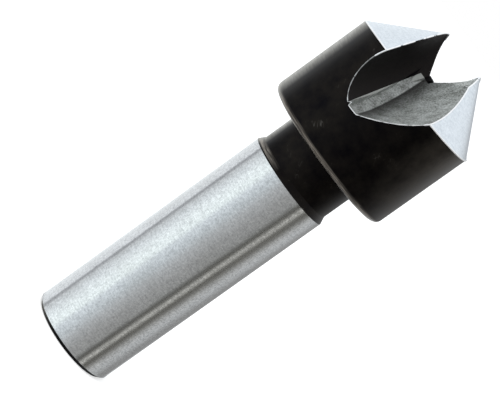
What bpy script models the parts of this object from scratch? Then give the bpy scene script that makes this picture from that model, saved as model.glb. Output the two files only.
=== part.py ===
"""Countersink with two flutes on a plain shank, made from one bar of tool steel.

Metres, +Z up. The tool stands on the flat end of its shank with its axis on Z. Its two tips lie over the X axis,
and the flute in front opens towards -Y. Seen from the tips it turns anticlockwise, so it is right-hand cutting.
"""

import math

import bmesh
import bpy
from mathutils import Euler, Matrix, Vector

MM = 0.001

# Shank and neck
SHANK_DIAMETER = 10 * MM
SHANK_LENGTH = 26 * MM
SHANK_CHAMFER = 0.4 * MM
TAPER_LENGTH = 0.7 * MM
NECK_DIAMETER = 9.3 * MM
NECK_LENGTH = 3.5 * MM

# Head and cone
HEAD_DIAMETER = 16 * MM
HEAD_LENGTH = 10.7 * MM
HEAD_REAR_ROUNDING = 0.7 * MM
CONE_ANGLE = math.radians(90)
TEETH = 2
CUTTING_EDGE_TURN = math.radians(-126)
RELIEF_DROP_PER_TURN = 2.05 * MM

# The first cutter of each flute: its flat side leaves the rake face, and its rounded corner the root. It goes in
# by its depth from the front of the head, and by its run down from the rim
ROOT_CUTTER_DIAMETER = 55 * MM
ROOT_CUTTER_WIDTH = 3 * MM
ROOT_CUTTER_CORNER = 3.4 * MM
ROOT_CUTTER_BACK_ANGLE = math.radians(32)
ROOT_CUTTER_TURN = math.radians(5.3)
ROOT_CUTTER_LEAN = math.radians(13.4)
ROOT_CUTTER_SIDE_SHIFT = 1.95 * MM
ROOT_CUTTER_DEPTH = 14.3 * MM
ROOT_CUTTER_RUN = 9.6 * MM

# The second cutter leaves a narrow land along the flute, and the hollow heel flank beside it
HEEL_CUTTER_DIAMETER = 24 * MM
HEEL_CUTTER_LAND = 1.1 * MM
HEEL_CUTTER_REACH = 5 * MM
HEEL_CUTTER_FLANK_ANGLE = math.radians(60)
HEEL_CUTTER_TURN = math.radians(11.5)
HEEL_CUTTER_LEAN = math.radians(-4.4)
HEEL_CUTTER_SIDE_SHIFT = -3.45 * MM
HEEL_CUTTER_DEPTH = 9.3 * MM
HEEL_CUTTER_RUN = 6.0 * MM

# How finely round forms are divided
ROUND_STEPS = 120
CUTTER_STEPS = 120
ARC_STEPS = 16
RELIEF_STEPS = 61

# Working allowances of the cutters, which leave no mark on the finished tool
GRINDING_STOCK = 0.4 * MM
OVERRUN = 1 * MM
RELIEF_LEAD_IN = math.radians(10.5)
RELIEF_OVERLAP = math.radians(3)
RELIEF_CORE = 0.4 * MM

SHANK_RADIUS = SHANK_DIAMETER / 2
NECK_RADIUS = NECK_DIAMETER / 2
HEAD_RADIUS = HEAD_DIAMETER / 2
TAPER_TOP = SHANK_LENGTH + TAPER_LENGTH
HEAD_REAR = TAPER_TOP + NECK_LENGTH
RIM_HEIGHT = HEAD_REAR + HEAD_LENGTH
CONE_SLOPE = 1 / math.tan(CONE_ANGLE / 2)
TOOTH_PITCH = 2 * math.pi / TEETH


def new_collection(name):
    collection = bpy.data.collections.new(name)
    bpy.context.scene.collection.children.link(collection)
    return collection


def new_material(name, colour, roughness):
    material = bpy.data.materials.new(name)
    material.use_nodes = True
    shader = material.node_tree.nodes["Principled BSDF"]
    shader.inputs["Base Color"].default_value = (*colour, 1)
    shader.inputs["Metallic"].default_value = 1
    shader.inputs["Roughness"].default_value = roughness
    material.diffuse_color = (*colour, 1)
    return material


def new_object(name, mesh, collection):
    obj = bpy.data.objects.new(name, mesh)
    collection.objects.link(obj)
    return obj


def arc_points(centre_x, centre_z, radius, start, end, steps):
    """Points of an arc in the XZ plane, both ends included."""
    angles = [start + (end - start) * i / steps for i in range(steps + 1)]
    return [(centre_x + radius * math.cos(a), centre_z + radius * math.sin(a)) for a in angles]


def turned_mesh(name, profile, steps, collection):
    """The solid turned from a profile of (radius, height) points, which runs from the top down the outer side."""
    outline = bpy.data.meshes.new(name + "_profile")
    points = [(radius, 0, height) for radius, height in profile]
    outline.from_pydata(points, [(i, i + 1) for i in range(len(points) - 1)], [])
    turning = new_object(name + "_turning", outline, collection)
    screw = turning.modifiers.new("Turn", "SCREW")
    screw.steps = steps
    screw.render_steps = steps
    screw.use_merge_vertices = True
    screw.merge_threshold = 0.00001
    graph = bpy.context.evaluated_depsgraph_get()
    mesh = bpy.data.meshes.new_from_object(turning.evaluated_get(graph))
    mesh.name = name
    bpy.data.objects.remove(turning)
    bpy.data.meshes.remove(outline)
    return mesh


def blank_profile():
    """The turned blank, from the point of its cone down to the flat end of the shank."""
    cone_top = RIM_HEIGHT + GRINDING_STOCK + HEAD_RADIUS * CONE_SLOPE
    rear_centre = HEAD_RADIUS - HEAD_REAR_ROUNDING
    rounding = arc_points(
        rear_centre, HEAD_REAR + HEAD_REAR_ROUNDING, HEAD_REAR_ROUNDING, 0, -math.pi / 2, ARC_STEPS // 2
    )
    return [
        (0, cone_top),
        (HEAD_RADIUS, RIM_HEIGHT + GRINDING_STOCK),
        *rounding,
        (NECK_RADIUS, HEAD_REAR),
        (NECK_RADIUS, TAPER_TOP),
        (SHANK_RADIUS, SHANK_LENGTH),
        (SHANK_RADIUS, SHANK_CHAMFER),
        (SHANK_RADIUS - SHANK_CHAMFER, 0),
        (0, 0),
    ]


def make_blank(collection, black, bright):
    """The blank is blackened all over but for the shank, which is ground bright afterwards."""
    blank = new_object("countersink", turned_mesh("countersink", blank_profile(), ROUND_STEPS, collection), collection)
    blank.data.materials.append(black)
    blank.data.materials.append(bright)
    for face in blank.data.polygons:
        face.material_index = int(face.center.z < SHANK_LENGTH)
    return blank


def as_cutter(obj, material):
    obj.data.materials.append(material)
    obj.hide_render = True
    obj.display_type = "WIRE"
    return obj


def make_relief_wheel(tooth, collection, material):
    """Grinds one tooth's cone face: the cone line swept behind the cutting edge while it sinks steadily."""
    outer = HEAD_RADIUS + OVERRUN
    top = RIM_HEIGHT + HEAD_RADIUS * CONE_SLOPE + OVERRUN
    lead_in_rise = RELIEF_DROP_PER_TURN * RELIEF_LEAD_IN / (2 * math.pi)
    outline = [
        (RELIEF_CORE, RIM_HEIGHT + (HEAD_RADIUS - RELIEF_CORE) * CONE_SLOPE + lead_in_rise),
        (outer, RIM_HEIGHT - OVERRUN * CONE_SLOPE + lead_in_rise),
        (outer, top + RELIEF_DROP_PER_TURN),
        (RELIEF_CORE, top + RELIEF_DROP_PER_TURN),
    ]
    start = CUTTING_EDGE_TURN + RELIEF_LEAD_IN + tooth * TOOTH_PITCH
    turn = Matrix.Rotation(start, 4, "Z")
    mesh = bmesh.new()
    corners = [mesh.verts.new(turn @ Vector((radius, 0, height))) for radius, height in outline]
    section = mesh.faces.new(corners)
    sweep = TOOTH_PITCH + RELIEF_OVERLAP
    bmesh.ops.spin(
        mesh,
        geom=[section, *section.edges, *section.verts],
        cent=(0, 0, 0),
        axis=(0, 0, 1),
        dvec=(0, 0, -RELIEF_DROP_PER_TURN * sweep / (2 * math.pi) / RELIEF_STEPS),
        angle=-sweep,
        steps=RELIEF_STEPS,
        use_duplicate=False,
    )
    bmesh.ops.recalc_face_normals(mesh, faces=mesh.faces)
    name = f"relief_wheel_{tooth + 1}"
    data = bpy.data.meshes.new(name)
    mesh.to_mesh(data)
    mesh.free()
    return as_cutter(new_object(name, data, collection), material)


def root_cutter_profile():
    """A disc with a rounded lower corner, whose upper side rises from the edge of that corner as a blunt cone."""
    rounding_start = -math.asin(1 - ROOT_CUTTER_WIDTH / ROOT_CUTTER_CORNER)
    centre = ROOT_CUTTER_DIAMETER / 2 - ROOT_CUTTER_CORNER
    corner = arc_points(centre, 0, ROOT_CUTTER_CORNER, rounding_start, -math.pi / 2, ARC_STEPS)
    edge_radius, edge_height = corner[0]
    top = edge_height + edge_radius * math.tan(ROOT_CUTTER_BACK_ANGLE)
    return [(0, top), *corner, (0, -ROOT_CUTTER_CORNER)]


def heel_cutter_profile():
    """A disc with a narrow flat rim and a flat lower side. Its upper side curves in until it is square to the rim."""
    radius = HEEL_CUTTER_DIAMETER / 2
    half_land = HEEL_CUTTER_LAND / 2
    slope = math.tan(HEEL_CUTTER_FLANK_ANGLE)
    depth = 2 * HEEL_CUTTER_REACH / slope
    steps = [i / ARC_STEPS for i in range(ARC_STEPS, 0, -1)]
    flank = [(radius - depth * s, half_land + slope * depth * s * (1 - s / 2)) for s in steps]
    return [(0, half_land + HEEL_CUTTER_REACH), *flank, (radius, half_land), (radius, -half_land), (0, -half_land)]


def cutter_place(side_shift, radius, depth, run):
    """Where a disc cutter's spindle is when its edge has gone in by depth from the front and by run from the rim."""
    return (side_shift, -HEAD_RADIUS - (radius - depth), RIM_HEIGHT + (radius - run))


def make_flute_cutter(name, profile, place, lean, turn, flute, collection, material):
    """A disc cutter with its spindle nearly along X, which dips by lean and turns by turn, in front of the head."""
    cutter = new_object(f"{name}_{flute + 1}", turned_mesh(name, profile, CUTTER_STEPS, collection), collection)
    spindle = Euler((0, math.pi / 2 + lean, -turn)).to_matrix().to_4x4()
    cutter.matrix_world = Matrix.Rotation(flute * TOOTH_PITCH, 4, "Z") @ Matrix.Translation(place) @ spindle
    return as_cutter(cutter, material)


def make_cutters(collection, black, bright):
    cutters = []
    for tooth in range(TEETH):
        cutters.append(make_relief_wheel(tooth, collection, bright))
        root_place = cutter_place(
            ROOT_CUTTER_SIDE_SHIFT, ROOT_CUTTER_DIAMETER / 2, ROOT_CUTTER_DEPTH, ROOT_CUTTER_RUN
        )
        cutters.append(
            make_flute_cutter(
                "root_cutter",
                root_cutter_profile(),
                root_place,
                ROOT_CUTTER_LEAN,
                ROOT_CUTTER_TURN,
                tooth,
                collection,
                black,
            )
        )
        heel_place = cutter_place(
            HEEL_CUTTER_SIDE_SHIFT, HEEL_CUTTER_DIAMETER / 2, HEEL_CUTTER_DEPTH, HEEL_CUTTER_RUN
        )
        cutters.append(
            make_flute_cutter(
                "heel_cutter",
                heel_cutter_profile(),
                heel_place,
                HEEL_CUTTER_LEAN,
                HEEL_CUTTER_TURN,
                tooth,
                collection,
                black,
            )
        )
    return cutters


def machine(blank, cutters):
    """Takes each cutter's cut from the blank, and makes the result the tool's own mesh."""
    for cutter in cutters:
        cut = blank.modifiers.new(cutter.name, "BOOLEAN")
        cut.operation = "DIFFERENCE"
        cut.solver = "EXACT"
        cut.material_mode = "TRANSFER"
        cut.object = cutter
    bpy.context.view_layer.update()
    graph = bpy.context.evaluated_depsgraph_get()
    finished = bpy.data.meshes.new_from_object(blank.evaluated_get(graph))
    turned = blank.data
    blank.modifiers.clear()
    blank.data = finished
    bpy.data.meshes.remove(turned)
    finished.name = blank.name


def build():
    for obj in list(bpy.data.objects):
        bpy.data.objects.remove(obj)
    bright = new_material("ground_steel", (0.62, 0.65, 0.69), 0.3)
    black = new_material("black_oxide_steel", (0.012, 0.012, 0.013), 0.45)
    tool = new_collection("countersink")
    cutter_store = new_collection("cutters")
    blank = make_blank(tool, black, bright)
    machine(blank, make_cutters(cutter_store, black, bright))
    blank.data.shade_smooth()
    blank.data.set_sharp_from_angle(angle=math.radians(25))


build()
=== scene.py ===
"""The looks of a countersink with two flutes on a plain shank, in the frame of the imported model.

Metres. The tool stands on the flat end of its shank with its axis on Z. Its two tips lie over the X axis,
and the flute in front opens towards -Y. Its form is turned, ground and milled here again with finer steps
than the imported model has. Each surface then gets the exact normals of the cut that made it, so that
reflections run clean.
"""

import math

import bmesh
import bpy
import numpy as np
from mathutils import Euler, Matrix


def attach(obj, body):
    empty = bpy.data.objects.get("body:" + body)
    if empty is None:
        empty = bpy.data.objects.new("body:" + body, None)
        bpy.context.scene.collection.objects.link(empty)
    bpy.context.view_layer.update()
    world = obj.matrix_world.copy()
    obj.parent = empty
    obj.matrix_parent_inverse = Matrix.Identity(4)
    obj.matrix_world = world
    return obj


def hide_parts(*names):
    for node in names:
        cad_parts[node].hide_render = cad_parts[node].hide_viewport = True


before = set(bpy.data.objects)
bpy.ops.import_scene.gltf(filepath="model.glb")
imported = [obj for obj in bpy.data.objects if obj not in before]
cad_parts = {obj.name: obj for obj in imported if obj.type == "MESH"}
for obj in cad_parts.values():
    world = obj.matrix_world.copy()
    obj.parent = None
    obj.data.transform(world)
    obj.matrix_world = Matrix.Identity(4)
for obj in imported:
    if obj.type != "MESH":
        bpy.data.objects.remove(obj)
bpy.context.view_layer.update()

MM = 0.001

# Shank and neck
SHANK_RADIUS = 5 * MM
SHANK_LENGTH = 26 * MM
SHANK_CHAMFER = 0.4 * MM
TAPER_LENGTH = 0.7 * MM
NECK_RADIUS = 4.65 * MM
NECK_LENGTH = 3.5 * MM

# Head and cone
HEAD_RADIUS = 8 * MM
HEAD_LENGTH = 10.7 * MM
HEAD_REAR_ROUNDING = 0.7 * MM
CONE_ANGLE = math.radians(90)
FLUTES = 2
CUTTING_EDGE_TURN = math.radians(-126)
RELIEF_DROP_PER_TURN = 2.05 * MM

# The cutter whose flat side leaves the rake face, and whose rounded corner leaves the root. A cutter's depth
# is how far its edge goes in from the front of the head, and its run is how far it goes down from the rim
ROOT_CUTTER_RADIUS = 27.5 * MM
ROOT_CUTTER_WIDTH = 3 * MM
ROOT_CUTTER_CORNER = 3.4 * MM
ROOT_CUTTER_BACK_ANGLE = math.radians(32)
ROOT_CUTTER_TURN = math.radians(5.3)
ROOT_CUTTER_LEAN = math.radians(13.4)
ROOT_CUTTER_SIDE_SHIFT = 1.95 * MM
ROOT_CUTTER_DEPTH = 14.3 * MM
ROOT_CUTTER_RUN = 9.6 * MM

# The cutter that leaves the narrow land and the hollow heel flank. Its curved side reaches 7 mm here and
# 5 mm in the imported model, because 7 mm puts the corner at the rim where the photograph has it
HEEL_CUTTER_RADIUS = 12 * MM
HEEL_CUTTER_LAND = 1.1 * MM
HEEL_CUTTER_REACH = 7 * MM
HEEL_CUTTER_FLANK_ANGLE = math.radians(60)
HEEL_CUTTER_TURN = math.radians(11.5)
HEEL_CUTTER_LEAN = math.radians(-4.4)
HEEL_CUTTER_SIDE_SHIFT = -3.45 * MM
HEEL_CUTTER_DEPTH = 9.3 * MM
HEEL_CUTTER_RUN = 6.0 * MM

# How finely round forms are divided, and the allowances of the cutters
BLANK_STEPS = 144
CUTTER_STEPS = 180
CORNER_STEPS = 16
REAR_ROUNDING_STEPS = 10
RELIEF_STEPS = 91
GRINDING_STOCK = 0.4 * MM
OVERRUN = 1 * MM
RELIEF_LEAD_IN = math.radians(10.5)
RELIEF_OVERLAP = math.radians(3)
RELIEF_CORE = 0.4 * MM
WELD_DISTANCE = 0.0001 * MM

# Where the bare second cut ends. The land's upper edge passes the axis at this side distance at the rim, and
# slants with the height. Above the rim, in the part near the axis, a wedge is coloured black
LAND_EDGE_SIDE = -1.31 * MM
LAND_EDGE_SLANT = 0.265
BLACK_WEDGE_RISE = 1.0 * MM
BLACK_WEDGE_BACK = 0.75 * MM

# Edges rubbed bare in a drawer, and the edges of the cone, which an oilstone has left wider and brighter. An
# edge belongs to the side within its margin, and to the cone down to its share of a full turn's relief
WORN_EDGE_RADIUS = 0.052 * MM
STONED_EDGE_RADIUS = 0.078 * MM
EDGE_STEP = 0.12 * MM
EDGE_FACETS = 8
SWELL_LENGTH = 0.7 * MM
SHARP_ANGLE = math.radians(25)
SIDE_MARGIN = 0.06 * MM
CONE_MARGIN = 0.55

TAPER_TOP = SHANK_LENGTH + TAPER_LENGTH
HEAD_REAR = TAPER_TOP + NECK_LENGTH
RIM_HEIGHT = HEAD_REAR + HEAD_LENGTH
CONE_SLOPE = 1 / math.tan(CONE_ANGLE / 2)
FLUTE_PITCH = 2 * math.pi / FLUTES

# The photograph's viewpoint
CAMERA_PLACE = (-0.52 * MM, -181.4 * MM, 50.1 * MM)
CAMERA_DIP = math.radians(8.88)
CAMERA_ROLL = math.radians(54.36)
CAMERA_LENS = 139.93
CAMERA_SENSOR = 36
CAMERA_NEAR = 5 * MM

# The studio. The bands on its walls lean between two heights of a direction, by a slope and from a base
WALL_STRENGTH = 1.3
LEAN_TOP = -0.05
LEAN_BOTTOM = -0.35
LEAN_SLOPE = -1.3
LEAN_BASE = 0.74
FLOOR_RADIUS = 3
FLOOR_GLOW = 0.62
FLOOR_SHOWS_TO = 5.4 * MM
FLOOR_CLEAR_FROM = 6.4 * MM
LAMP_PLACE = (-0.25, -0.2, 0.6)
LAMP_DIAMETER = 0.35
LAMP_POWER = 2.2


def srgb(code):
    """A hex colour as the linear colour with alpha that nodes take."""
    parts = [int(code[i : i + 2], 16) / 255 for i in (1, 3, 5)]
    return (*[c / 12.92 if c <= 0.04045 else ((c + 0.055) / 1.055) ** 2.4 for c in parts], 1)


def feed(tree, node, inputs):
    """Gives a node its inputs. Each is a plain value, or the socket or node that feeds it."""
    for name, value in dict(inputs).items():
        if isinstance(value, bpy.types.Node):
            value = next(socket for socket in value.outputs if socket.enabled)
        if isinstance(value, bpy.types.NodeSocket):
            tree.links.new(value, node.inputs[name])
        else:
            node.inputs[name].default_value = value


def add(tree, kind, inputs=(), **settings):
    """Adds a node with its settings and its inputs."""
    made = tree.nodes.new(kind)
    for name, value in settings.items():
        setattr(made, name, value)
    feed(tree, made, inputs)
    return made


def cutter_matrix(side_shift, radius, depth, run, lean, turn):
    """Places a cutter, its spindle nearly along X, with its edge at its depth and its run."""
    spindle = Euler((0, math.pi / 2 + lean, -turn)).to_matrix().to_4x4()
    front = -HEAD_RADIUS - radius + depth
    height = RIM_HEIGHT + radius - run
    return Matrix.Translation((side_shift, front, height)) @ spindle


ROOT_CUTTER_PLACE = cutter_matrix(
    ROOT_CUTTER_SIDE_SHIFT,
    ROOT_CUTTER_RADIUS,
    ROOT_CUTTER_DEPTH,
    ROOT_CUTTER_RUN,
    ROOT_CUTTER_LEAN,
    ROOT_CUTTER_TURN,
)
HEEL_CUTTER_PLACE = cutter_matrix(
    HEEL_CUTTER_SIDE_SHIFT,
    HEEL_CUTTER_RADIUS,
    HEEL_CUTTER_DEPTH,
    HEEL_CUTTER_RUN,
    HEEL_CUTTER_LEAN,
    HEEL_CUTTER_TURN,
)


# Finishes


def new_finish(name):
    """A plain metal, with its tree, its shader and the object coordinates that its patterns read."""
    material = bpy.data.materials.new(name)
    material.use_nodes = True
    tree = material.node_tree
    shader = tree.nodes["Principled BSDF"]
    shader.inputs["Metallic"].default_value = 1
    place = add(tree, "ShaderNodeTexCoord").outputs["Object"]
    return material, tree, shader, place


def scaled(tree, place, across, along):
    """Object coordinates in units of a pattern's real size across the axis and along it."""
    return add(
        tree,
        "ShaderNodeVectorMath",
        {0: place, 1: (1 / across, 1 / across, 1 / along)},
        operation="MULTIPLY",
    )


def front_place(tree, place):
    """Object coordinates with the back flute turned round to the front, going by the way a surface faces."""
    facing = add(tree, "ShaderNodeSeparateXYZ", {0: add(tree, "ShaderNodeTexCoord").outputs["Normal"]})
    front = add(tree, "ShaderNodeMath", {0: facing.outputs[1], 1: 0.0}, operation="LESS_THAN")
    sign = add(tree, "ShaderNodeMath", {0: front, 1: 2.0, 2: -1.0}, operation="MULTIPLY_ADD")
    both = add(tree, "ShaderNodeCombineXYZ", {0: sign, 1: sign, 2: 1.0})
    return add(tree, "ShaderNodeVectorMath", {0: place, 1: both}, operation="MULTIPLY")


def second_cut(tree, folded):
    """1 where the second cut left bare steel, and 0 past the land's upper edge and in a wedge near the axis
    above the rim.
    """
    spot = add(tree, "ShaderNodeSeparateXYZ", {0: folded})
    across = add(
        tree,
        "ShaderNodeMath",
        {0: spot.outputs[2], 1: -LAND_EDGE_SLANT, 2: spot.outputs[0]},
        operation="MULTIPLY_ADD",
    )
    within = add(
        tree,
        "ShaderNodeMath",
        {0: across, 1: LAND_EDGE_SIDE - LAND_EDGE_SLANT * RIM_HEIGHT},
        operation="GREATER_THAN",
    )
    high = add(
        tree,
        "ShaderNodeMath",
        {0: spot.outputs[2], 1: RIM_HEIGHT + BLACK_WEDGE_RISE},
        operation="GREATER_THAN",
    )
    far_in = add(tree, "ShaderNodeMath", {0: spot.outputs[1], 1: -BLACK_WEDGE_BACK}, operation="GREATER_THAN")
    past = add(tree, "ShaderNodeMath", {0: high, 1: far_in}, operation="MULTIPLY")
    outside_black_wedge = add(tree, "ShaderNodeMath", {0: 1.0, 1: past}, operation="SUBTRACT")
    return add(tree, "ShaderNodeMath", {0: within, 1: outside_black_wedge}, operation="MULTIPLY")


def make_ground_shank():
    """Tool steel, centreless ground: fine rings round the shank, which draw highlights out along it."""
    material, tree, shader, place = new_finish("centreless_ground_tool_steel")
    # Real rings are some 0.02 mm apart, too fine for the render, so they are drawn 0.16 mm apart
    rings = add(
        tree,
        "ShaderNodeTexNoise",
        {"Vector": scaled(tree, place, 0.8 * MM, 0.16 * MM), "Scale": 1, "Detail": 3, "Roughness": 0.6},
    )
    # The grain of the wheel leaves a fine mottle
    mottle = add(
        tree,
        "ShaderNodeTexNoise",
        {"Vector": scaled(tree, place, 0.2 * MM, 0.2 * MM), "Scale": 1, "Detail": 3, "Roughness": 0.75},
    )
    # Finger marks and oil film, a few millimetres across
    oil_film_and_painted_sheen = add(
        tree,
        "ShaderNodeTexNoise",
        {"Vector": scaled(tree, place, 4 * MM, 5 * MM), "Scale": 1, "Detail": 3, "Roughness": 0.55},
    )
    grain = add(
        tree,
        "ShaderNodeMix",
        {0: 0.7, 2: rings.outputs["Fac"], 3: mottle.outputs["Fac"]},
        data_type="FLOAT",
    )
    tone = add(tree, "ShaderNodeMapRange", {0: grain, 1: 0.3, 2: 0.7, 3: 0.0, 4: 1.0})
    steel = add(tree, "ShaderNodeMix", {0: tone, 6: srgb("#acaeaf"), 7: srgb("#f2f4f4")}, data_type="RGBA")
    filmed = add(tree, "ShaderNodeMapRange", {0: oil_film_and_painted_sheen.outputs["Fac"], 1: 0.5, 2: 0.75, 3: 0.0, 4: 0.25})
    colour = add(tree, "ShaderNodeMix", {0: filmed, 6: steel, 7: srgb("#b9bab6")}, data_type="RGBA")
    rough = add(tree, "ShaderNodeMapRange", {0: grain, 1: 0.3, 2: 0.7, 3: 0.17, 4: 0.1})
    bump = add(tree, "ShaderNodeBump", {"Height": grain, "Strength": 0.12, "Distance": 0.02 * MM})
    finish = {
        "Base Color": colour,
        "Roughness": rough,
        "Normal": bump,
        "Tangent": add(tree, "ShaderNodeTangent", direction_type="RADIAL", axis="Z"),
        "Anisotropic": 0.8,
        "Anisotropic Rotation": 0.25,
    }
    feed(tree, shader, finish)
    return material


def band(tree, height, rise, fall):
    """A belt round the tool, which comes in over one pair of heights and goes out over another."""
    start = add(tree, "ShaderNodeMapRange", {0: height, 1: rise[0], 2: rise[1], 3: 0.0, 4: 1.0})
    end = add(tree, "ShaderNodeMapRange", {0: height, 1: fall[0], 2: fall[1], 3: 1.0, 4: 0.0})
    return add(tree, "ShaderNodeMath", {0: start, 1: end}, operation="MULTIPLY")


def drawer_scratches(tree, place, patches):
    """Scratches from other tools in the drawer: thin lines along the creases of a stretched noise."""
    lie = add(tree, "ShaderNodeMapping", {"Vector": place, "Rotation": (0.5, 0.9, 0.4)}).outputs[0]
    field = add(
        tree,
        "ShaderNodeTexNoise",
        {"Vector": scaled(tree, lie, 0.5 * MM, 4 * MM), "Scale": 1, "Detail": 1, "Roughness": 0.4},
    )
    from_crease = add(tree, "ShaderNodeMath", {0: field.outputs["Fac"], 1: 0.5}, operation="SUBTRACT")
    crease = add(tree, "ShaderNodeMath", {0: from_crease}, operation="ABSOLUTE")
    line = add(tree, "ShaderNodeMapRange", {0: crease, 1: 0.0, 2: 0.009, 3: 1.0, 4: 0.0})
    here = add(tree, "ShaderNodeMapRange", {0: patches, 1: 0.58, 2: 0.72, 3: 0.0, 4: 0.3})
    return add(tree, "ShaderNodeMath", {0: line, 1: here}, operation="MULTIPLY")


def painted_sheen_places(tree, spot, patches):
    """Where a brown grey sheen is painted: the side of the head towards +X, and most of all near the rim."""
    side = add(
        tree,
        "ShaderNodeMapRange",
        {0: spot.outputs[0], 1: 0.45 * HEAD_RADIUS, 2: 0.95 * HEAD_RADIUS, 3: 0.0, 4: 1.0},
    )
    near_rim = add(
        tree,
        "ShaderNodeMapRange",
        {0: spot.outputs[2], 1: HEAD_REAR + 1 * MM, 2: RIM_HEIGHT - 1 * MM, 3: 0.3, 4: 1.0},
    )
    patch = add(tree, "ShaderNodeMapRange", {0: patches, 1: 0.35, 2: 0.65, 3: 0.5, 4: 1.0})
    sheen_near_rim = add(tree, "ShaderNodeMath", {0: side, 1: near_rim}, operation="MULTIPLY")
    return add(tree, "ShaderNodeMath", {0: sheen_near_rim, 1: patch}, operation="MULTIPLY")


def worn_and_lit_rings(tree, height, rings, painted_light_side):
    """Streaks rubbed round the head's rear edge, and round the taper on its -X side, where they are partly a
    painted reflection.
    """
    rear_edge = band(
        tree,
        height,
        (HEAD_REAR - 0.05 * MM, HEAD_REAR + 0.1 * MM),
        (HEAD_REAR + 0.35 * MM, HEAD_REAR + 0.6 * MM),
    )
    edge_streaks = add(tree, "ShaderNodeMapRange", {0: rings, 1: 0.42, 2: 0.66, 3: 0.1, 4: 0.62})
    edge_wear = add(tree, "ShaderNodeMath", {0: rear_edge, 1: edge_streaks}, operation="MULTIPLY")
    taper = band(
        tree,
        height,
        (SHANK_LENGTH + 0.1 * MM, SHANK_LENGTH + 0.2 * MM),
        (TAPER_TOP - 0.25 * MM, TAPER_TOP),
    )
    taper_streaks = add(tree, "ShaderNodeMapRange", {0: rings, 1: 0.4, 2: 0.6, 3: 0.1, 4: 0.75})
    lit_side_taper_streaks = add(tree, "ShaderNodeMath", {0: taper_streaks, 1: painted_light_side}, operation="MULTIPLY")
    taper_wear_and_reflection = add(tree, "ShaderNodeMath", {0: taper, 1: lit_side_taper_streaks}, operation="MULTIPLY")
    return add(tree, "ShaderNodeMath", {0: edge_wear, 1: taper_wear_and_reflection}, operation="MAXIMUM")


def make_black_oxide():
    """Turned steel, blackened in a hot salt bath and oiled: near black, with a painted grey sheen at a low
    angle towards -X and a painted brown grey sheen towards +X.
    """
    material, tree, shader, place = new_finish("black_oxide_on_turned_steel")
    spot = add(tree, "ShaderNodeSeparateXYZ", {0: place})
    # The feed of the turning tool, drawn as rings 0.18 mm apart
    rings = add(
        tree,
        "ShaderNodeTexNoise",
        {"Vector": scaled(tree, place, 2.5 * MM, 0.18 * MM), "Scale": 1, "Detail": 3, "Roughness": 0.6},
    ).outputs["Fac"]
    # The blackening lies in patches of a slightly different depth
    patches = add(
        tree,
        "ShaderNodeTexNoise",
        {"Vector": scaled(tree, place, 1.8 * MM, 1.8 * MM), "Scale": 1, "Detail": 5, "Roughness": 0.65},
    ).outputs["Fac"]
    depth = add(tree, "ShaderNodeMapRange", {0: patches, 1: 0.3, 2: 0.7, 3: 0.0, 4: 1.0})
    black = add(tree, "ShaderNodeMix", {0: depth, 6: srgb("#0f0e11"), 7: srgb("#221f1c")}, data_type="RGBA")
    scratches = drawer_scratches(tree, place, patches)
    scratched = add(tree, "ShaderNodeMix", {0: scratches, 6: black, 7: srgb("#8b8985")}, data_type="RGBA")
    # A grey sheen at a low angle is painted on the side towards -X, streaked along the turning rings
    painted_light_side = add(
        tree,
        "ShaderNodeMapRange",
        {0: spot.outputs[0], 1: -0.3 * NECK_RADIUS, 2: -0.75 * NECK_RADIUS, 3: 0.0, 4: 1.0},
    )
    streaks = add(tree, "ShaderNodeMapRange", {0: rings, 1: 0.35, 2: 0.65, 3: 0.55, 4: 1.0})
    oil_film_and_painted_sheen = add(tree, "ShaderNodeMath", {0: painted_light_side, 1: streaks}, operation="MULTIPLY")
    facing = add(tree, "ShaderNodeLayerWeight", {"Blend": 0.5}).outputs["Facing"]
    grazing = add(tree, "ShaderNodeMapRange", {0: facing, 1: 0.56, 2: 0.82, 3: 0.0, 4: 1.0})
    shine = add(tree, "ShaderNodeMath", {0: oil_film_and_painted_sheen, 1: grazing}, operation="MULTIPLY")
    with_painted_sheen = add(tree, "ShaderNodeMix", {0: shine, 6: scratched, 7: srgb("#a3a096")}, data_type="RGBA")
    # A painted brown grey sheen on the side towards +X, most near the rim, and lighter where rings are
    # rubbed
    painted_side_sheen = painted_sheen_places(tree, spot, patches)
    with_side_sheen = add(tree, "ShaderNodeMix", {0: painted_side_sheen, 6: with_painted_sheen, 7: srgb("#57524c")}, data_type="RGBA")
    # Rubbed streaks at the head's rear edge, and on the taper's -X side streaks that are partly a painted
    # reflection
    wear_and_painted_reflection = worn_and_lit_rings(tree, spot.outputs[2], rings, painted_light_side)
    colour = add(tree, "ShaderNodeMix", {0: wear_and_painted_reflection, 6: with_side_sheen, 7: srgb("#a39c92")}, data_type="RGBA")
    rough = add(tree, "ShaderNodeMapRange", {0: patches, 1: 0.3, 2: 0.7, 3: 0.28, 4: 0.4})
    bump = add(tree, "ShaderNodeBump", {"Height": rings, "Strength": 0.1, "Distance": 0.02 * MM})
    finish = {
        "Base Color": colour,
        "Roughness": rough,
        "Normal": bump,
        "Sheen Weight": 0.02,
        "Sheen Roughness": 0.25,
        "Sheen Tint": srgb("#d8cfc0"),
    }
    feed(tree, shader, finish)
    return material


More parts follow.
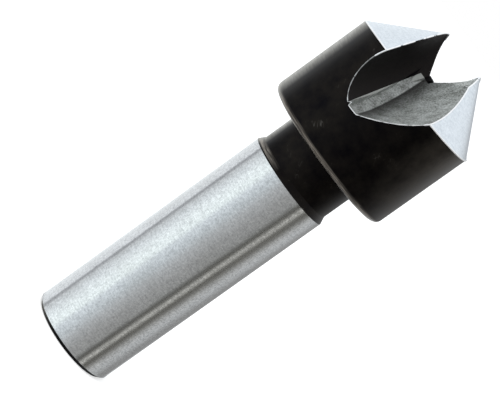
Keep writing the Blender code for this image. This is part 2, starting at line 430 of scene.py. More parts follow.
def make_blackened_rake():
    """Milled and blackened steel: dull black, with the faint arcs that the cutter's side has left."""
    material, tree, shader, place = new_finish("black_oxide_on_milled_steel")
    spindle = ROOT_CUTTER_PLACE.translation
    from_spindle = add(
        tree, "ShaderNodeVectorMath", {0: place, 1: (0.0, -spindle.y, -spindle.z)}, operation="ADD"
    )
    # The wave texture goes through 20 radians in a unit. Here a radian takes 0.2 mm, so the arcs are some
    # 1.3 mm apart, coarser than real ones, which would be too fine to show
    radian = 0.2 * MM
    arcs = add(
        tree,
        "ShaderNodeTexWave",
        {"Vector": from_spindle, "Scale": 1 / (20 * radian), "Distortion": 3.0, "Detail": 2},
        wave_type="RINGS",
        rings_direction="X",
    ).outputs["Fac"]
    grit = add(
        tree,
        "ShaderNodeTexNoise",
        {"Vector": scaled(tree, place, 0.3 * MM, 0.3 * MM), "Scale": 1, "Detail": 3, "Roughness": 0.7},
    ).outputs["Fac"]
    black = add(tree, "ShaderNodeMix", {0: grit, 6: srgb("#151316"), 7: srgb("#282522")}, data_type="RGBA")
    # The root is bare where the second cut crosses it
    bare = second_cut(tree, front_place(tree, place))
    colour = add(tree, "ShaderNodeMix", {0: bare, 6: black, 7: srgb("#a8aaa6")}, data_type="RGBA")
    dull = add(tree, "ShaderNodeMapRange", {0: grit, 1: 0.3, 2: 0.7, 3: 0.42, 4: 0.58})
    rough = add(tree, "ShaderNodeMath", {0: bare, 1: 0.15, 2: dull}, operation="MULTIPLY_ADD")
    bump = add(tree, "ShaderNodeBump", {"Height": arcs, "Strength": 0.08, "Distance": 0.01 * MM})
    feed(tree, shader, {"Base Color": colour, "Roughness": rough, "Normal": bump})
    return material


def make_milled_heel():
    """Steel milled after the blackening and left bare: a dull mid grey with a fine torn grain."""
    material, tree, shader, place = new_finish("bare_milled_tool_steel")
    grit = add(
        tree,
        "ShaderNodeTexNoise",
        {"Vector": scaled(tree, place, 0.16 * MM, 0.16 * MM), "Scale": 1, "Detail": 3, "Roughness": 0.7},
    ).outputs["Fac"]
    bands = add(
        tree,
        "ShaderNodeTexNoise",
        {"Vector": scaled(tree, place, 0.9 * MM, 2.5 * MM), "Scale": 1, "Detail": 3, "Roughness": 0.6},
    ).outputs["Fac"]
    grain = add(tree, "ShaderNodeMix", {0: 0.4, 2: grit, 3: bands}, data_type="FLOAT")
    tone = add(tree, "ShaderNodeMapRange", {0: grain, 1: 0.38, 2: 0.62, 3: 0.0, 4: 1.0})
    bare = add(tree, "ShaderNodeMix", {0: tone, 6: srgb("#8f918c"), 7: srgb("#e2e5e3")}, data_type="RGBA")
    # Painted shade along the crease beside the land, measured along the cutter's spindle
    folded = front_place(tree, place)
    spindle = HEEL_CUTTER_PLACE.to_3x3().col[2]
    along = add(tree, "ShaderNodeVectorMath", {0: folded, 1: tuple(spindle)}, operation="DOT_PRODUCT")
    reach = along.outputs["Value"]
    crease = spindle.dot(HEEL_CUTTER_PLACE.translation) + HEEL_CUTTER_LAND / 2
    on_land = 0.12 * MM
    on_flank = 1.8 * MM
    fading = add(tree, "ShaderNodeMapRange", {0: reach, 1: crease, 2: crease + on_flank, 3: 0.9, 4: 0.0})
    starting = add(tree, "ShaderNodeMapRange", {0: reach, 1: crease - on_land, 2: crease, 3: 0.3, 4: 1.0})
    crease_shade = add(tree, "ShaderNodeMath", {0: fading, 1: starting}, operation="MULTIPLY")
    crease_shaded = add(tree, "ShaderNodeMix", {0: crease_shade, 6: bare, 7: srgb("#454340")}, data_type="RGBA")
    # Above the land the black is left, and a wedge near the axis above the rim is black too
    milled = second_cut(tree, folded)
    colour = add(tree, "ShaderNodeMix", {0: milled, 6: srgb("#1a1819"), 7: crease_shaded}, data_type="RGBA")
    rough = add(tree, "ShaderNodeMapRange", {0: grain, 1: 0.35, 2: 0.65, 3: 0.78, 4: 0.62})
    bump = add(tree, "ShaderNodeBump", {"Height": grit, "Strength": 0.25, "Distance": 0.03 * MM})
    feed(tree, shader, {"Base Color": colour, "Roughness": rough, "Normal": bump})
    return material


def make_ground_cone():
    """Tool steel, relief ground: the brightest surface, with fine wheel lines that run round the cone."""
    material, tree, shader, place = new_finish("relief_ground_tool_steel")
    # Wheel lines are some 0.03 mm apart, drawn 0.15 mm apart
    lines = add(
        tree,
        "ShaderNodeTexNoise",
        {"Vector": scaled(tree, place, 1.2 * MM, 0.15 * MM), "Scale": 1, "Detail": 3, "Roughness": 0.6},
    ).outputs["Fac"]
    mottle = add(
        tree,
        "ShaderNodeTexNoise",
        {"Vector": scaled(tree, place, 0.2 * MM, 0.2 * MM), "Scale": 1, "Detail": 2, "Roughness": 0.7},
    ).outputs["Fac"]
    grain = add(tree, "ShaderNodeMix", {0: 0.6, 2: lines, 3: mottle}, data_type="FLOAT")
    tone = add(tree, "ShaderNodeMapRange", {0: grain, 1: 0.3, 2: 0.7, 3: 0.0, 4: 1.0})
    colour = add(tree, "ShaderNodeMix", {0: tone, 6: srgb("#ccd3d9"), 7: srgb("#eaf0f5")}, data_type="RGBA")
    rough = add(tree, "ShaderNodeMapRange", {0: grain, 1: 0.3, 2: 0.7, 3: 0.36, 4: 0.26})
    bump = add(tree, "ShaderNodeBump", {"Height": grain, "Strength": 0.12, "Distance": 0.02 * MM})
    feed(tree, shader, {"Base Color": colour, "Roughness": rough, "Normal": bump})
    return material


def make_worn_edge():
    """Edges rubbed back to bare steel: bright at the heel, and dimmer with gaps in the black at the rake."""
    material, tree, shader, place = new_finish("black_oxide_worn_to_steel")
    gaps = add(
        tree,
        "ShaderNodeTexNoise",
        {"Vector": scaled(tree, place, 0.35 * MM, 0.35 * MM), "Scale": 1, "Detail": 3, "Roughness": 0.6},
    ).outputs["Fac"]
    bare = add(tree, "ShaderNodeMapRange", {0: gaps, 1: 0.33, 2: 0.45, 3: 0.3, 4: 1.0})
    # The rake's edge lies towards -X in the front flute, and towards +X in the back one
    spot = add(tree, "ShaderNodeSeparateXYZ", {0: place})
    half = add(tree, "ShaderNodeMath", {0: spot.outputs[1]}, operation="SIGN")
    side = add(tree, "ShaderNodeMath", {0: spot.outputs[0], 1: half}, operation="MULTIPLY")
    share = add(tree, "ShaderNodeMapRange", {0: side, 1: 2.6 * MM, 2: 3.4 * MM, 3: 1.0, 4: 0.4})
    shown = add(tree, "ShaderNodeMath", {0: bare, 1: share}, operation="MULTIPLY")
    colour = add(tree, "ShaderNodeMix", {0: shown, 6: srgb("#2a2826"), 7: srgb("#eceeee")}, data_type="RGBA")
    rough = add(tree, "ShaderNodeMapRange", {0: gaps, 1: 0.3, 2: 0.7, 3: 0.42, 4: 0.28})
    feed(tree, shader, {"Base Color": colour, "Roughness": rough})
    return material


def make_stoned_edge():
    """The edges of the ground cone, drawn along an oilstone: the brightest thin lines on the tool."""
    material, tree, shader, _ = new_finish("stoned_tool_steel")
    feed(tree, shader, {"Base Color": srgb("#fbfcfd"), "Roughness": 0.3})
    return material


# Forms


def arc_points(centre_x, centre_z, radius, start, end, steps):
    angles = [start + (end - start) * i / steps for i in range(steps + 1)]
    return [(centre_x + radius * math.cos(a), centre_z + radius * math.sin(a)) for a in angles]


def blank_profile():
    """The turned blank, from the point of its cone down to the flat end of the shank."""
    rounding = arc_points(
        HEAD_RADIUS - HEAD_REAR_ROUNDING,
        HEAD_REAR + HEAD_REAR_ROUNDING,
        HEAD_REAR_ROUNDING,
        0,
        -math.pi / 2,
        REAR_ROUNDING_STEPS,
    )
    return [
        (0, RIM_HEIGHT + GRINDING_STOCK + HEAD_RADIUS * CONE_SLOPE),
        (HEAD_RADIUS, RIM_HEIGHT + GRINDING_STOCK),
        *rounding,
        (NECK_RADIUS, HEAD_REAR),
        (NECK_RADIUS, TAPER_TOP),
        (SHANK_RADIUS, SHANK_LENGTH),
        (SHANK_RADIUS, SHANK_CHAMFER),
        (SHANK_RADIUS - SHANK_CHAMFER, 0),
        (0, 0),
    ]


def root_cutter_profile():
    """A disc with a rounded lower corner and a blunt cone above it."""
    start = -math.asin(1 - ROOT_CUTTER_WIDTH / ROOT_CUTTER_CORNER)
    centre = ROOT_CUTTER_RADIUS - ROOT_CUTTER_CORNER
    corner = arc_points(centre, 0, ROOT_CUTTER_CORNER, start, -math.pi / 2, CORNER_STEPS)
    edge_radius, edge_height = corner[0]
    return [
        (0, edge_height + edge_radius * math.tan(ROOT_CUTTER_BACK_ANGLE)),
        *corner,
        (0, -ROOT_CUTTER_CORNER),
    ]


def heel_cutter_profile():
    """A disc with a narrow flat rim and a flat lower side, whose upper side curves in."""
    half_land = HEEL_CUTTER_LAND / 2
    slope = math.tan(HEEL_CUTTER_FLANK_ANGLE)
    depth = 2 * HEEL_CUTTER_REACH / slope
    steps = [i / CORNER_STEPS for i in range(CORNER_STEPS, 0, -1)]
    flank = [(HEEL_CUTTER_RADIUS - depth * s, half_land + slope * depth * s * (1 - s / 2)) for s in steps]
    return [
        (0, half_land + HEEL_CUTTER_REACH),
        *flank,
        (HEEL_CUTTER_RADIUS, half_land),
        (HEEL_CUTTER_RADIUS, -half_land),
        (0, -half_land),
    ]


def turned_object(name, profile, steps, place, finishes, other_lines=0):
    """The closed solid turned from a profile of (radius, height) points, from the top down the outer side.

    The surfaces that the profile's first lines leave can have a second finish.
    """
    mesh = bmesh.new()
    turns = [2 * math.pi * i / steps for i in range(steps)]
    rings = []
    for radius, height in profile:
        if radius == 0:
            rings.append([mesh.verts.new((0, 0, height))] * steps)
        else:
            circle = [(radius * math.cos(a), radius * math.sin(a), height) for a in turns]
            rings.append([mesh.verts.new(point) for point in circle])
    for line, (upper, lower) in enumerate(zip(rings, rings[1:])):
        for i in range(steps):
            j = (i + 1) % steps
            face = mesh.faces.new(list(dict.fromkeys([upper[i], lower[i], lower[j], upper[j]])))
            face.material_index = int(line < other_lines)
    data = bpy.data.meshes.new(name)
    mesh.to_mesh(data)
    mesh.free()
    data.transform(place)
    for finish in finishes:
        data.materials.append(finish)
    obj = bpy.data.objects.new(name, data)
    bpy.context.collection.objects.link(obj)
    return obj


def relief_wheel(tree, given, finish):
    """A relief wheel, whose sole is the cone line swept behind the cutting edge while it sinks steadily."""
    # A flat grid of (turn, radius), one unit wide each way, is bent into the sinking cone
    grid = add(
        tree,
        "GeometryNodeMeshGrid",
        {"Size X": 1.0, "Size Y": 1.0, "Vertices X": RELIEF_STEPS + 1, "Vertices Y": 2},
    )
    spot = add(tree, "ShaderNodeSeparateXYZ", {0: add(tree, "GeometryNodeInputPosition")})
    sweep = FLUTE_PITCH + RELIEF_OVERLAP
    behind = add(
        tree,
        "ShaderNodeMapRange",
        {0: spot.outputs[0], 1: -0.5, 2: 0.5, 3: -RELIEF_LEAD_IN, 4: sweep - RELIEF_LEAD_IN},
    )
    outer = add(tree, "ShaderNodeMath", {0: given["Head Radius"], 1: OVERRUN}, operation="ADD")
    radius = add(tree, "ShaderNodeMapRange", {0: spot.outputs[1], 1: -0.5, 2: 0.5, 3: RELIEF_CORE, 4: outer})
    turn = add(tree, "ShaderNodeMath", {0: given["Cutting Edge Turn"], 1: behind}, operation="SUBTRACT")
    inward = add(tree, "ShaderNodeMath", {0: given["Head Radius"], 1: radius}, operation="SUBTRACT")
    cone = add(
        tree,
        "ShaderNodeMath",
        {0: inward, 1: given["Cone Slope"], 2: given["Rim Height"]},
        operation="MULTIPLY_ADD",
    )
    minus_turns = add(tree, "ShaderNodeMath", {0: behind, 1: -2 * math.pi}, operation="DIVIDE")
    height = add(
        tree,
        "ShaderNodeMath",
        {0: minus_turns, 1: given["Relief Drop"], 2: cone},
        operation="MULTIPLY_ADD",
    )
    arm = add(tree, "ShaderNodeCombineXYZ", {"X": radius, "Z": height})
    swung = add(
        tree,
        "ShaderNodeVectorRotate",
        {"Vector": arm, "Axis": (0, 0, 1), "Angle": turn},
        rotation_type="AXIS_ANGLE",
    )
    sole = add(tree, "GeometryNodeSetPosition", {"Geometry": grid.outputs["Mesh"], "Position": swung})
    # The sole is drawn up into a closed solid
    raised = add(
        tree,
        "GeometryNodeExtrudeMesh",
        {"Mesh": sole, "Offset": (0, 0, HEAD_RADIUS + 4 * OVERRUN), "Individual": False},
        mode="FACES",
    )
    closed = add(tree, "GeometryNodeJoinGeometry")
    tree.links.new(raised.outputs["Mesh"], closed.inputs[0])
    tree.links.new(add(tree, "GeometryNodeFlipFaces", {"Mesh": sole}).outputs[0], closed.inputs[0])
    welded = add(tree, "GeometryNodeMergeByDistance", {"Geometry": closed, "Distance": WELD_DISTANCE})
    return add(tree, "GeometryNodeSetMaterial", {"Geometry": welded, "Material": finish})


def cut_blank(tree, given, wheel):
    """Takes the relief wheel and both cutters from the blank, each repeated round the axis."""
    points = add(tree, "GeometryNodePoints", {"Count": given["Flutes"]})
    pitch = add(tree, "ShaderNodeMath", {0: 2 * math.pi, 1: given["Flutes"]}, operation="DIVIDE")
    index = add(tree, "GeometryNodeInputIndex")
    swing = add(tree, "ShaderNodeMath", {0: index, 1: pitch}, operation="MULTIPLY")
    facing = add(tree, "ShaderNodeCombineXYZ", {"Z": swing})
    turned = add(tree, "FunctionNodeEulerToRotation", {0: facing})
    difference = add(
        tree, "GeometryNodeMeshBoolean", {"Mesh 1": given["Blank"]}, operation="DIFFERENCE", solver="EXACT"
    )
    cuts = [wheel.outputs[0]]
    for name in ("Root Cutter", "Heel Cutter"):
        cuts.append(add(tree, "GeometryNodeObjectInfo", {"Object": given[name]}).outputs["Geometry"])
    for cut in cuts:
        ring = add(
            tree,
            "GeometryNodeInstanceOnPoints",
            {"Points": points, "Instance": cut, "Rotation": turned},
        )
        tree.links.new(ring.outputs[0], difference.inputs["Mesh 2"])
    return difference


def edge_beads(tree, given, cut, finishes):
    """Thin beads along the sharp outer edges that the cuts leave: stoned on the cone, worn on the side."""
    edge_angle = add(tree, "GeometryNodeInputMeshEdgeAngle").outputs["Signed Angle"]
    sharp = add(tree, "FunctionNodeCompare", {0: edge_angle, 1: SHARP_ANGLE}, operation="GREATER_THAN")
    met = add(
        tree, "FunctionNodeBooleanMath", {0: sharp, 1: cut.outputs["Intersecting Edges"]}, operation="AND"
    )
    spot = add(tree, "ShaderNodeSeparateXYZ", {0: add(tree, "GeometryNodeInputPosition")})
    flat = add(tree, "ShaderNodeCombineXYZ", {0: spot.outputs[0], 1: spot.outputs[1]})
    from_axis = add(tree, "ShaderNodeVectorMath", {0: flat}, operation="LENGTH").outputs["Value"]
    inside = add(tree, "ShaderNodeMath", {0: given["Head Radius"], 1: from_axis}, operation="SUBTRACT")
    on_side = add(tree, "FunctionNodeCompare", {0: inside, 1: SIDE_MARGIN}, operation="LESS_THAN")
    full_cone = add(
        tree,
        "ShaderNodeMath",
        {0: inside, 1: given["Cone Slope"], 2: given["Rim Height"]},
        operation="MULTIPLY_ADD",
    )
    under = add(tree, "ShaderNodeMath", {0: full_cone, 1: spot.outputs[2]}, operation="SUBTRACT")
    margin = add(tree, "ShaderNodeMath", {0: given["Relief Drop"], 1: CONE_MARGIN}, operation="MULTIPLY")
    on_cone = add(tree, "FunctionNodeCompare", {0: under, 1: margin}, operation="LESS_THAN")
    outside = add(tree, "FunctionNodeBooleanMath", {0: on_side, 1: on_cone}, operation="OR")
    outer_met = add(tree, "FunctionNodeBooleanMath", {0: met, 1: outside}, operation="AND")
    line = add(tree, "GeometryNodeMeshToCurve", {"Mesh": cut.outputs["Mesh"], "Selection": outer_met})
    even = add(tree, "GeometryNodeResampleCurve", {"Curve": line, "Length": EDGE_STEP}, mode="LENGTH")
    # A worn bead thins and swells along its edge
    uneven = add(tree, "ShaderNodeTexNoise", {"Scale": 1 / SWELL_LENGTH, "Detail": 2})
    swell = add(tree, "ShaderNodeMapRange", {0: uneven.outputs["Fac"], 1: 0.3, 2: 0.7, 3: 0.5, 4: 1.2})
    worn_radius = add(tree, "ShaderNodeMath", {0: swell, 1: given["Worn Edge Radius"]}, operation="MULTIPLY")
    radius = add(
        tree,
        "GeometryNodeSwitch",
        {0: on_cone, 1: worn_radius, 2: given["Stoned Edge Radius"]},
        input_type="FLOAT",
    )
    section = add(tree, "GeometryNodeCurvePrimitiveCircle", {"Resolution": EDGE_FACETS, "Radius": 1.0})
    bead = add(
        tree,
        "GeometryNodeCurveToMesh",
        {
            "Curve": even,
            "Profile Curve": section.outputs["Curve"],
            "Scale": radius,
            "Fill Caps": True,
        },
    )
    worn = add(tree, "GeometryNodeSetMaterial", {"Geometry": bead, "Material": finishes["worn"]})
    return add(
        tree,
        "GeometryNodeSetMaterial",
        {"Geometry": worn, "Selection": on_cone, "Material": finishes["stoned"]},
    )


def machining_tree(finishes):
    """Cuts the relieved cone faces and the flutes from a turned blank, and runs beads along their edges."""
    tree = bpy.data.node_groups.new("machining", "GeometryNodeTree")
    sizes = [
        ("Blank", "NodeSocketGeometry", None),
        ("Root Cutter", "NodeSocketObject", None),
        ("Heel Cutter", "NodeSocketObject", None),
        ("Flutes", "NodeSocketInt", FLUTES),
        ("Head Radius", "NodeSocketFloat", HEAD_RADIUS),
        ("Rim Height", "NodeSocketFloat", RIM_HEIGHT),
        ("Cone Slope", "NodeSocketFloat", CONE_SLOPE),
        ("Relief Drop", "NodeSocketFloat", RELIEF_DROP_PER_TURN),
        ("Cutting Edge Turn", "NodeSocketFloat", CUTTING_EDGE_TURN),
        ("Shank Length", "NodeSocketFloat", SHANK_LENGTH),
        ("Shank Chamfer", "NodeSocketFloat", SHANK_CHAMFER),
        ("Worn Edge Radius", "NodeSocketFloat", WORN_EDGE_RADIUS),
        ("Stoned Edge Radius", "NodeSocketFloat", STONED_EDGE_RADIUS),
    ]
    for name, kind, value in sizes:
        socket = tree.interface.new_socket(name=name, in_out="INPUT", socket_type=kind)
        if value is not None:
            socket.default_value = value
    tree.interface.new_socket(name="Tool", in_out="OUTPUT", socket_type="NodeSocketGeometry")
    given = add(tree, "NodeGroupInput").outputs
    cut = cut_blank(tree, given, relief_wheel(tree, given, finishes["cone"]))
    beads = edge_beads(tree, given, cut, finishes)
    together = add(tree, "GeometryNodeJoinGeometry")
    tree.links.new(beads.outputs[0], together.inputs[0])
    tree.links.new(cut.outputs["Mesh"], together.inputs[0])
    real = add(tree, "GeometryNodeRealizeInstances", {"Geometry": together})
    # The shank is ground bright after the blackening, which its chamfer and its end keep
    spot = add(tree, "ShaderNodeSeparateXYZ", {0: add(tree, "GeometryNodeInputPosition")})
    height = spot.outputs[2]
    below = add(tree, "FunctionNodeCompare", {0: height, 1: given["Shank Length"]}, operation="LESS_THAN")
    over = add(tree, "FunctionNodeCompare", {0: height, 1: given["Shank Chamfer"]}, operation="GREATER_THAN")
    ground = add(tree, "FunctionNodeBooleanMath", {0: below, 1: over}, operation="AND")
    bright = add(
        tree,
        "GeometryNodeSetMaterial",
        {"Geometry": real, "Selection": ground, "Material": finishes["shank"]},
    )
    add(tree, "NodeGroupOutput", {0: bright})
    return tree


def run_tree(name, blank, tree, values):
    """Runs a Geometry Nodes tree on a copy of the blank and gives the result as a plain mesh object."""
    work = blank.copy()
    bpy.context.collection.objects.link(work)
    modifier = work.modifiers.new("Machining", "NODES")
    modifier.node_group = tree
    names = {item.name: item.identifier for item in tree.interface.items_tree if item.in_out == "INPUT"}
    for key, value in values.items():
        modifier[names[key]] = value
    graph = bpy.context.evaluated_depsgraph_get()
    mesh = bpy.data.meshes.new_from_object(work.evaluated_get(graph))
    bpy.data.objects.remove(work)
    mesh.name = name
    obj = bpy.data.objects.new(name, mesh)
    bpy.context.collection.objects.link(obj)
    return obj


# Exact normals


def on_profile(profile, centres, corners, owner):
    """How far the faces of a turned form are from its profile, and the profile's normals at their corners.

    Points are (radius, height) pairs. owner gives each corner's face.
    """
    points = np.array(profile)
    start, step = points[:-1], np.diff(points, axis=0)
    length = np.linalg.norm(step, axis=1)
    flat = np.stack([-step[:, 1], step[:, 0]], axis=1) / length[:, None]
    soft = (flat[:-1] * flat[1:]).sum(axis=1) > math.cos(SHARP_ANGLE)
    shared = flat[:-1] + flat[1:]
    shared /= np.linalg.norm(shared, axis=1, keepdims=True)
    first, last = flat.copy(), flat.copy()
    first[1:][soft] = shared[soft]
    last[:-1][soft] = shared[soft]

    def along(place, piece):
        return np.clip(((place - start[piece]) * step[piece]).sum(axis=-1) / length[piece] ** 2, 0, 1)

    gap = np.full(len(centres), np.inf)
    nearest = np.zeros(len(centres), int)
    for piece in range(len(step)):
        share = along(centres, np.full(len(centres), piece))
        apart = np.linalg.norm(centres - start[piece] - share[:, None] * step[piece], axis=1)
        closer = apart < gap
        gap[closer] = apart[closer]
        nearest[closer] = piece
    piece = nearest[owner]
    share = along(corners, piece)[:, None]
    return gap, first[piece] * (1 - share) + last[piece] * share


def turned_normals(profile, place, centres, corners, owner):
    """The normals of a form turned from a profile and put in place, with each face's distance from it."""
    back = np.array(place.inverted())
    local_centres = centres @ back[:3, :3].T + back[:3, 3]
    local_corners = corners @ back[:3, :3].T + back[:3, 3]
    gap, flat = on_profile(
        profile,
        np.stack([np.hypot(local_centres[:, 0], local_centres[:, 1]), local_centres[:, 2]], axis=1),
        np.stack([np.hypot(local_corners[:, 0], local_corners[:, 1]), local_corners[:, 2]], axis=1),
        owner,
    )
    angle = np.arctan2(local_corners[:, 1], local_corners[:, 0])
    local = np.stack([flat[:, 0] * np.cos(angle), flat[:, 0] * np.sin(angle), flat[:, 1]], axis=1)
    return gap, local @ np.array(place)[:3, :3].T


def relief_normals(corners):
    """The normals of the sinking cone faces."""
    radius = np.hypot(corners[:, 0], corners[:, 1])
    outward = corners[:, :2] / radius[:, None]
    sink = RELIEF_DROP_PER_TURN / (2 * math.pi * radius)
    return np.stack(
        [
            CONE_SLOPE * outward[:, 0] + sink * outward[:, 1],
            CONE_SLOPE * outward[:, 1] - sink * outward[:, 0],
            np.ones(len(corners)),
        ],
        axis=1,
    )


def values_of(items, key, width=1, kind=float):
    """A value, or a row of values, for each of a mesh's items."""
    values = np.zeros(len(items) * width, kind)
    items.foreach_get(key, values)
    return values if width == 1 else values.reshape(-1, width)


def give_exact_normals(tool, finishes):
    """Gives every face corner the normal of the surface that its face was cut on."""
    mesh = tool.data
    mesh.shade_smooth()
    corners = values_of(mesh.vertices, "co", 3)[values_of(mesh.loops, "vertex_index", kind=int)]
    centres = values_of(mesh.polygons, "center", 3)
    size = values_of(mesh.polygons, "loop_total", kind=int)
    owner = np.repeat(np.arange(len(size)), size)
    slot = values_of(mesh.polygons, "material_index", kind=int)
    slot_of = {material.name: i for i, material in enumerate(mesh.materials)}
    normals = values_of(mesh.corner_normals, "vector", 3)
    ground = (slot == slot_of[finishes["cone"].name])[owner]
    normals[ground] = relief_normals(corners[ground])
    # The finishes on a form's surface, its profile, its place, how often it is repeated, and whether the
    # tool keeps its outside or, as a cutter's print, its inside
    forms = [
        (["black", "shank"], blank_profile(), Matrix.Identity(4), 1, 1),
        (["rake", "heel"], root_cutter_profile(), ROOT_CUTTER_PLACE, FLUTES, -1),
        (["heel"], heel_cutter_profile(), HEEL_CUTTER_PLACE, FLUTES, -1),
    ]
    best = np.full(len(size), np.inf)
    for keys, profile, home, repeats, side in forms:
        own = np.isin(slot, [slot_of[finishes[key].name] for key in keys])
        for flute in range(repeats):
            turned = Matrix.Rotation(flute * FLUTE_PITCH, 4, "Z") @ home
            gap, found = turned_normals(profile, turned, centres, corners, owner)
            better = own & (gap < best)
            best[better] = gap[better]
            mine = better[owner]
            normals[mine] = side * found[mine]
    normals /= np.linalg.norm(normals, axis=1, keepdims=True)
    mesh.normals_split_custom_set(normals.tolist())


# The studio


def make_studio():
    """A pale studio. The shank shows the broad light panels and the dark gaps of its walls as long bands."""
    world = bpy.data.worlds.new("studio")
    bpy.context.scene.world = world
    world.use_nodes = True
    tree = world.node_tree
    tree.nodes.clear()
    direction = add(tree, "ShaderNodeSeparateXYZ", {0: add(tree, "ShaderNodeTexCoord").outputs["Generated"]})
    height = direction.outputs[2]
    ahead = add(tree, "ShaderNodeMath", {0: direction.outputs[1], 1: -1.0}, operation="MULTIPLY")
    bearing = add(tree, "ShaderNodeMath", {0: direction.outputs[0], 1: ahead}, operation="ARCTAN2")
    # The dark gaps on one side lean, so that their reflections draw together towards the end of the shank
    drop = add(tree, "ShaderNodeClamp", {"Value": height, "Min": LEAN_BOTTOM, "Max": LEAN_TOP})
    lean = add(tree, "ShaderNodeMath", {0: drop, 1: LEAN_SLOPE, 2: LEAN_BASE}, operation="MULTIPLY_ADD")
    one_side = add(tree, "ShaderNodeMath", {0: bearing, 1: 0.0}, operation="MAXIMUM")
    other_side = add(tree, "ShaderNodeMath", {0: bearing, 1: 0.0}, operation="MINIMUM")
    leaning = add(tree, "ShaderNodeMath", {0: one_side, 1: lean, 2: other_side}, operation="MULTIPLY_ADD")
    share = add(tree, "ShaderNodeMapRange", {0: leaning, 1: -math.pi, 2: math.pi, 3: 0.0, 4: 1.0})
    ramp = add(tree, "ShaderNodeValToRGB", {0: share})
    # Bearings in degrees from the camera's side, with the colour of the light from there
    walls = [
        (-180, (0.79, 0.82, 0.84)),
        (-150, (0.80, 0.83, 0.85)),
        (-113, (0.74, 0.76, 0.79)),
        (-109, (0.36, 0.37, 0.39)),
        (-104, (0.38, 0.39, 0.41)),
        (-99, (0.58, 0.60, 0.62)),
        (-82, (0.76, 0.80, 0.83)),
        (-64, (0.92, 0.98, 1.00)),
        (-46, (0.92, 0.99, 1.00)),
        (-35, (0.70, 0.75, 0.79)),
        (-20, (0.57, 0.61, 0.64)),
        (0, (0.44, 0.45, 0.46)),
        (22, (0.33, 0.33, 0.33)),
        (45, (0.29, 0.29, 0.285)),
        (52, (0.06, 0.058, 0.05)),
        (59, (0.05, 0.047, 0.04)),
        (63, (0.6, 0.59, 0.56)),
        (68, (0.6, 0.59, 0.56)),
        (72, (0.04, 0.037, 0.03)),
        (78, (0.05, 0.047, 0.04)),
        (86, (0.20, 0.195, 0.18)),
        (98, (0.47, 0.47, 0.47)),
        (112, (0.48, 0.49, 0.50)),
        (135, (0.28, 0.28, 0.28)),
        (160, (0.24, 0.24, 0.24)),
        (176, (0.40, 0.40, 0.40)),
    ]
    stops = ramp.color_ramp.elements
    stops[0].position = 0
    stops[0].color = (*walls[0][1], 1)
    stops[1].position = 1
    stops[1].color = (*walls[0][1], 1)
    for degrees, colour in walls[1:]:
        stop = stops.new((degrees + 180) / 360)
        stop.color = (*colour, 1)
    # Above the walls is an even ceiling, and below them the pale floor
    above = add(tree, "ShaderNodeMapRange", {0: height, 1: 0.2, 2: 0.5, 3: 0.0, 4: 1.0})
    below = add(tree, "ShaderNodeMapRange", {0: height, 1: -0.35, 2: -0.6, 3: 0.0, 4: 1.0})
    ceiling = add(tree, "ShaderNodeMix", {0: above, 6: ramp, 7: (0.78, 0.8, 0.82, 1)}, data_type="RGBA")
    around = add(tree, "ShaderNodeMix", {0: below, 6: ceiling, 7: (0.7, 0.7, 0.7, 1)}, data_type="RGBA")
    lit = add(tree, "ShaderNodeBackground", {"Color": around, "Strength": WALL_STRENGTH})
    seen = add(tree, "ShaderNodeBackground", {"Color": (1, 1, 1, 1), "Strength": 1.0})
    path = add(tree, "ShaderNodeLightPath")
    either = add(tree, "ShaderNodeMixShader", {0: path.outputs["Is Camera Ray"], 1: lit, 2: seen})
    add(tree, "ShaderNodeOutputWorld", {0: either})


def make_floor():
    """A white floor that keeps a soft shadow. Away from the tool, steel looks past it at the studio."""
    mesh = bmesh.new()
    bmesh.ops.create_circle(mesh, cap_ends=True, segments=64, radius=FLOOR_RADIUS)
    data = bpy.data.meshes.new("floor")
    mesh.to_mesh(data)
    mesh.free()
    floor = bpy.data.objects.new("floor", data)
    bpy.context.collection.objects.link(floor)
    material = bpy.data.materials.new("white_matt_board")
    material.use_nodes = True
    tree = material.node_tree
    tree.nodes.clear()
    path = add(tree, "ShaderNodeLightPath")
    board = add(tree, "ShaderNodeBsdfDiffuse", {"Color": srgb("#c9c9c9")})
    glow = add(tree, "ShaderNodeEmission", {"Color": (1, 1, 1, 1), "Strength": FLOOR_GLOW})
    white = add(tree, "ShaderNodeAddShader", {0: board, 1: glow})
    plain = add(tree, "ShaderNodeMixShader", {0: path.outputs["Is Camera Ray"], 1: board, 2: white})
    place = add(tree, "ShaderNodeTexCoord").outputs["Object"]
    distance = add(tree, "ShaderNodeVectorMath", {0: place}, operation="LENGTH").outputs["Value"]
    far = add(
        tree,
        "ShaderNodeMapRange",
        {0: distance, 1: FLOOR_SHOWS_TO, 2: FLOOR_CLEAR_FROM, 3: 0.0, 4: 1.0},
    )
    past = add(tree, "ShaderNodeMath", {0: far, 1: path.outputs["Is Glossy Ray"]}, operation="MULTIPLY")
    clear = add(tree, "ShaderNodeBsdfTransparent")
    either = add(tree, "ShaderNodeMixShader", {0: past, 1: plain, 2: clear})
    add(tree, "ShaderNodeOutputMaterial", {0: either})
    data.materials.append(material)


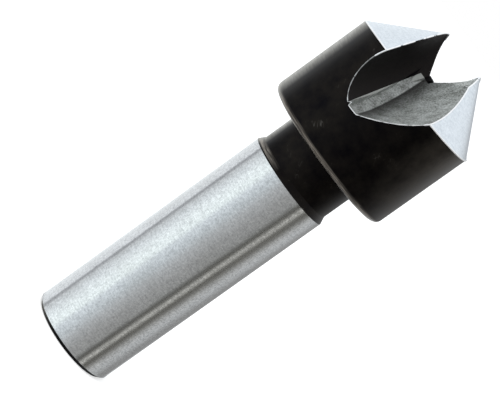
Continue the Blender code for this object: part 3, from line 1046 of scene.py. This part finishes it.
def make_lamp():
    """One broad soft lamp, which gives the floor the tool's shadow."""
    lamp = bpy.data.lights.new("soft_lamp", "AREA")
    lamp.shape = "DISK"
    lamp.size = LAMP_DIAMETER
    lamp.energy = LAMP_POWER
    holder = bpy.data.objects.new("soft_lamp", lamp)
    bpy.context.collection.objects.link(holder)
    holder.location = LAMP_PLACE
    holder.rotation_euler = (-holder.location).to_track_quat("-Z", "Y").to_euler()
    holder.visible_glossy = False


def make_camera():
    data = bpy.data.cameras.new("camera")
    data.lens = CAMERA_LENS
    data.sensor_width = CAMERA_SENSOR
    data.sensor_fit = "HORIZONTAL"
    data.clip_start = CAMERA_NEAR
    camera = bpy.data.objects.new("camera", data)
    bpy.context.collection.objects.link(camera)
    dip = Matrix.Rotation(math.pi / 2 - CAMERA_DIP, 4, "X")
    roll = Matrix.Rotation(CAMERA_ROLL, 4, "Z")
    camera.matrix_world = Matrix.Translation(CAMERA_PLACE) @ dip @ roll
    bpy.context.scene.camera = camera


def make_tool():
    """Turns the blank and machines it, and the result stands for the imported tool."""
    finishes = {
        "shank": make_ground_shank(),
        "black": make_black_oxide(),
        "rake": make_blackened_rake(),
        "heel": make_milled_heel(),
        "cone": make_ground_cone(),
        "worn": make_worn_edge(),
        "stoned": make_stoned_edge(),
    }
    blank = turned_object("blank", blank_profile(), BLANK_STEPS, Matrix.Identity(4), [finishes["black"]])
    root = turned_object(
        "root_cutter",
        root_cutter_profile(),
        CUTTER_STEPS,
        ROOT_CUTTER_PLACE,
        [finishes["rake"], finishes["heel"]],
        other_lines=1,
    )
    heel = turned_object(
        "heel_cutter", heel_cutter_profile(), CUTTER_STEPS, HEEL_CUTTER_PLACE, [finishes["heel"]]
    )
    tree = machining_tree(finishes)
    tool = run_tree("fluted_tool", blank, tree, {"Root Cutter": root, "Heel Cutter": heel})
    for helper in (blank, root, heel):
        bpy.data.objects.remove(helper)
    give_exact_normals(tool, finishes)
    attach(tool, "root")
    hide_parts("countersink")


make_camera()
make_studio()
make_floor()
make_lamp()
make_tool()
bpy.context.scene.view_settings.view_transform = "Standard"
